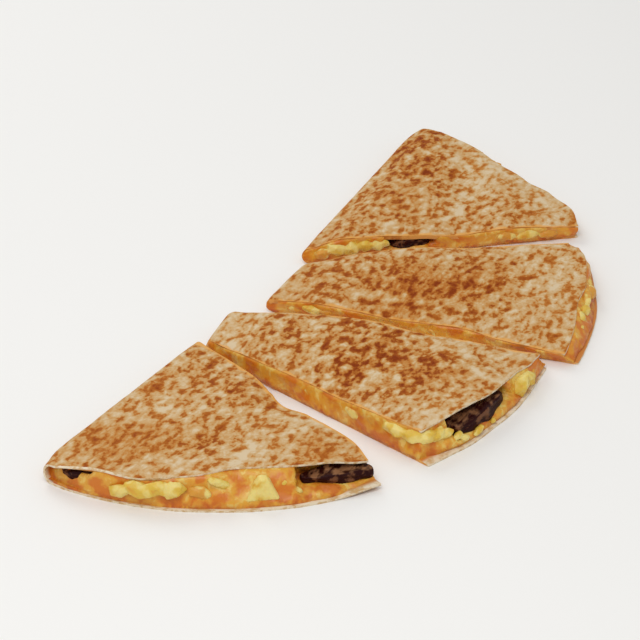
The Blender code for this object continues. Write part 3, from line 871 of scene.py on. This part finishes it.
def makeEgg(number, piece, chance):
    block = addBlock(f"scrambledEgg{number}", 60, 70, 4)
    inset = filling["runOver"] * 0.7
    ends = [3 / 11 if isTip(piece, 0) else 0.0, 8 / 11 if isTip(piece, 1) else 1.0]
    for vertex in block.data.vertices:
        s, t, h = lerp(ends, vertex.co.x), vertex.co.y, vertex.co.z
        reach = column(piece, s)[2]
        width = max(abs((column(piece, 1.0)[0] - column(piece, 0.0)[0]).x), 4 * inset)
        s = lerp((max(ends[0], inset / width), min(ends[1], 1 - inset / width)), vertex.co.x)
        t = lerp((0.0, 1 - inset / reach), t)
        middle = cheeseShare(fillingPoint(piece, s, t, halfMoon["cheeseShare"]))
        point = fillingPoint(piece, s, t, lerp((middle - 0.1, 1.02), h))
        for chunk in chunks.values():
            if slices[chunk["slice"]] is piece:
                point = keepClear(chunk, point, 1.0 * mm)
        vertex.co = point
    turnOutwards(block)
    curds = list(piece["curds"])
    if not isTip(piece, 1):
        curds += guessedCurds(piece, "far", chance)
    else:
        curds += guessedCurds(piece, "rim", chance)
    lumps, middles = [block], []
    for wall, place, h, length, high, out, tilt in curds:
        point, outwards, run = wallPlace(piece, wall, place, h)
        length, high = length * mm, high * mm
        spin = Matrix((run, outwards, run.cross(outwards))).transposed().to_4x4()
        point += outwards * out * mm
        point.z = max(point.z, halfMoon["sheet"] + high * 0.35)
        middles.append((point, length, 0.0 if out > 0 else 0.85))
        matrix = Matrix.Translation(point) @ spin @ Matrix.Rotation(math.radians(tilt), 4, "Y")
        lumps.append(addCurd(f"curd{len(lumps)}", length, high, matrix, chance))
    whole = join(lumps, f"scrambledEgg{number}")
    apply(whole, "REMESH", mode="VOXEL", voxel_size=curdShape["voxel"])
    roughen(whole)
    apply(whole, "SMOOTH", factor=0.5, iterations=1)
    coat = []
    for vertex in whole.data.vertices:
        nearest, least = min(((vertex.co - middle).length / length, least)
                             for middle, length, least in middles)
        coat.append(max(smooth(nearest - 0.35), least))
    writeField(whole, "coat", coat)
    whole.data.materials.clear()
    whole.data.materials.append(finishes["egg"])
    shadeSmooth(whole, 60)
    return whole


meat = {
    "cuts": 34,
    "fibre": 0.00045,
    "fibreSize": (0.0070, 0.0016, 0.0014),
    "dent": 0.0014,
    "dentSize": 0.0060,
}


def makeStrip(name, chunk):  # steak, tapering and torn along its fibres
    deselectAll()
    bpy.ops.mesh.primitive_cube_add(size=2)
    strip = bpy.context.object
    strip.name = name
    pick(strip)
    bpy.ops.object.mode_set(mode="EDIT")
    bpy.ops.mesh.select_all(action="SELECT")
    bpy.ops.mesh.subdivide(number_cuts=meat["cuts"])
    bpy.ops.object.mode_set(mode="OBJECT")
    matrix = chunkMatrix(chunk)
    half = Vector(chunk["size"]) / 2
    for vertex in strip.data.vertices:
        corner = vertex.co
        power = chunk["squareness"]
        ball = corner / sum(abs(part) ** power for part in corner) ** (1 / power)
        slim = 1 - chunk["taper"] * max(abs(ball.x) - 0.3, 0.0) ** 1.5
        point = Vector((ball.x, ball.y * slim, ball.z * slim)) * half
        outwards = Vector(ball[axis] / half[axis] for axis in range(3)).normalized()
        dent = noise.noise(point / meat["dentSize"] + matrix.translation / mm)
        grain = noise.noise(Vector(point[axis] / meat["fibreSize"][axis] for axis in range(3)))
        vertex.co = matrix @ (point + outwards * (meat["dent"] * dent + meat["fibre"] * grain))
    turn = -chunk["turn"] - slices[chunk["slice"]]["turn"]
    strip.data.materials.append(searedSteak(turn, chunk["lit"]))
    shadeSmooth(strip, 60)
    return strip


def makeEggChunk(name, chunk):  # a broad lump that comes to a point
    deselectAll()
    bpy.ops.mesh.primitive_cube_add(size=2)
    lump = bpy.context.object
    lump.name = name
    half = Vector(chunk["size"]) / 2
    peak = {"in": 0.25, "lean": 0.15}
    for vertex in lump.data.vertices:
        if vertex.co.z > 0:
            vertex.co.x = vertex.co.x * peak["in"] + peak["lean"]
            vertex.co.y = vertex.co.y * 0.6 + 0.2
            vertex.co.z += 0.35 - 0.25 * vertex.co.x
        else:
            vertex.co.x *= 1.1
        vertex.co = chunkMatrix(chunk) @ (vertex.co * half)
    apply(lump, "BEVEL", width=0.0009, segments=3)
    apply(lump, "REMESH", mode="VOXEL", voxel_size=curdShape["voxel"])
    roughen(lump)
    apply(lump, "SMOOTH", factor=0.5, iterations=1)
    lump.data.materials.append(finishes["chunk"])
    shadeSmooth(lump, 60)
    return lump


finishes = {
    "tortilla": (crustOutside(), crustInside(), crustEdge()),
    "cheese": meltedCheese(),
    "egg": scrambledEgg("scrambled egg", 0.42),
    "chunk": scrambledEgg("firm egg", 0.30),
}
print("finishes mixed")

chance = random.Random(11)
shift = None
for number, piece in enumerate(slices, start=1):
    sheet = makeTortilla(number, piece)
    lie = sliceMatrix(piece)
    if shift is None:
        low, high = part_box(f"tortilla_{number}")
        shift = (low + high) / 2 - boxMiddle([lie @ vertex.co for vertex in sheet.data.vertices])
        shift.z = 0.0
    lie = Matrix.Translation(shift) @ lie
    parts = [(sheet, "tortilla", f"tortilla_{number}"),
             (makeCheese(number, piece), "cheese", f"cheese_{number}"),
             (makeEgg(number, piece, chance), "egg", f"egg_{number}")]
    for name, chunk in chunks.items():
        if slices[chunk["slice"]] is not piece:
            continue
        if name.startswith("steak"):
            strip = makeStrip(name.replace("steak_", "steakStrip").replace("_", ""), chunk)
            parts.append((strip, "steak", name))
        else:
            parts.append((makeEggChunk("eggChunk1", chunk), "egg", name))
    for part, slot, node in parts:
        part.data.transform(lie)
        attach(part, "root")
        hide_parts(node)
    print("slice", number, "made")


studio = {
    "floor": (244, 243, 240), "floorSize": 4.0, "sky": 0.55,
    "key": {"place": (-0.55, -0.15, 0.95), "size": 0.6, "watts": 4.5},
    "back": {"place": (0.35, 0.75, 0.70), "size": 0.6, "watts": 2.5},
}
view = {"azimuth": -60.7, "elevation": 32.51, "distance": 1.0, "lens": 148.96,
        "aim": (-0.0013, 0.0318, 0.0)}

deselectAll()
bpy.ops.mesh.primitive_plane_add(size=studio["floorSize"], location=(0, 0, 0))
floor = bpy.context.object
floor.name = "floor"
floorFinish = Recipe("pale floor")
floor.data.materials.append(floorFinish.finish(Base_Color=paint(*studio["floor"]), Roughness=0.7))

for name in ("key", "back"):
    lamp = studio[name]
    light = bpy.data.lights.new(name, "AREA")
    light.size = lamp["size"]
    light.energy = lamp["watts"]
    holder = bpy.data.objects.new(name, light)
    bpy.context.scene.collection.objects.link(holder)
    holder.location = lamp["place"]
    holder.rotation_euler = (-Vector(lamp["place"])).to_track_quat("-Z", "Y").to_euler()

world = bpy.data.worlds.new("studio")
bpy.context.scene.world = world
world.use_nodes = True
background = world.node_tree.nodes["Background"]
background.inputs["Color"].default_value = (1, 1, 1, 1)
background.inputs["Strength"].default_value = studio["sky"]

azimuth, elevation = math.radians(view["azimuth"]), math.radians(view["elevation"])
towards = Vector((math.cos(elevation) * math.sin(-azimuth), math.cos(elevation) * math.cos(azimuth),
                  -math.sin(elevation)))
cameraData = bpy.data.cameras.new("camera")
cameraData.lens = view["lens"]
cameraData.sensor_width = 36
camera = bpy.data.objects.new("camera", cameraData)
bpy.context.scene.collection.objects.link(camera)
camera.location = Vector(view["aim"]) - towards * view["distance"]
camera.rotation_euler = towards.to_track_quat("-Z", "Y").to_euler()
bpy.context.scene.camera = camera
bpy.context.scene.view_settings.view_transform = "Standard"
print("studio set")
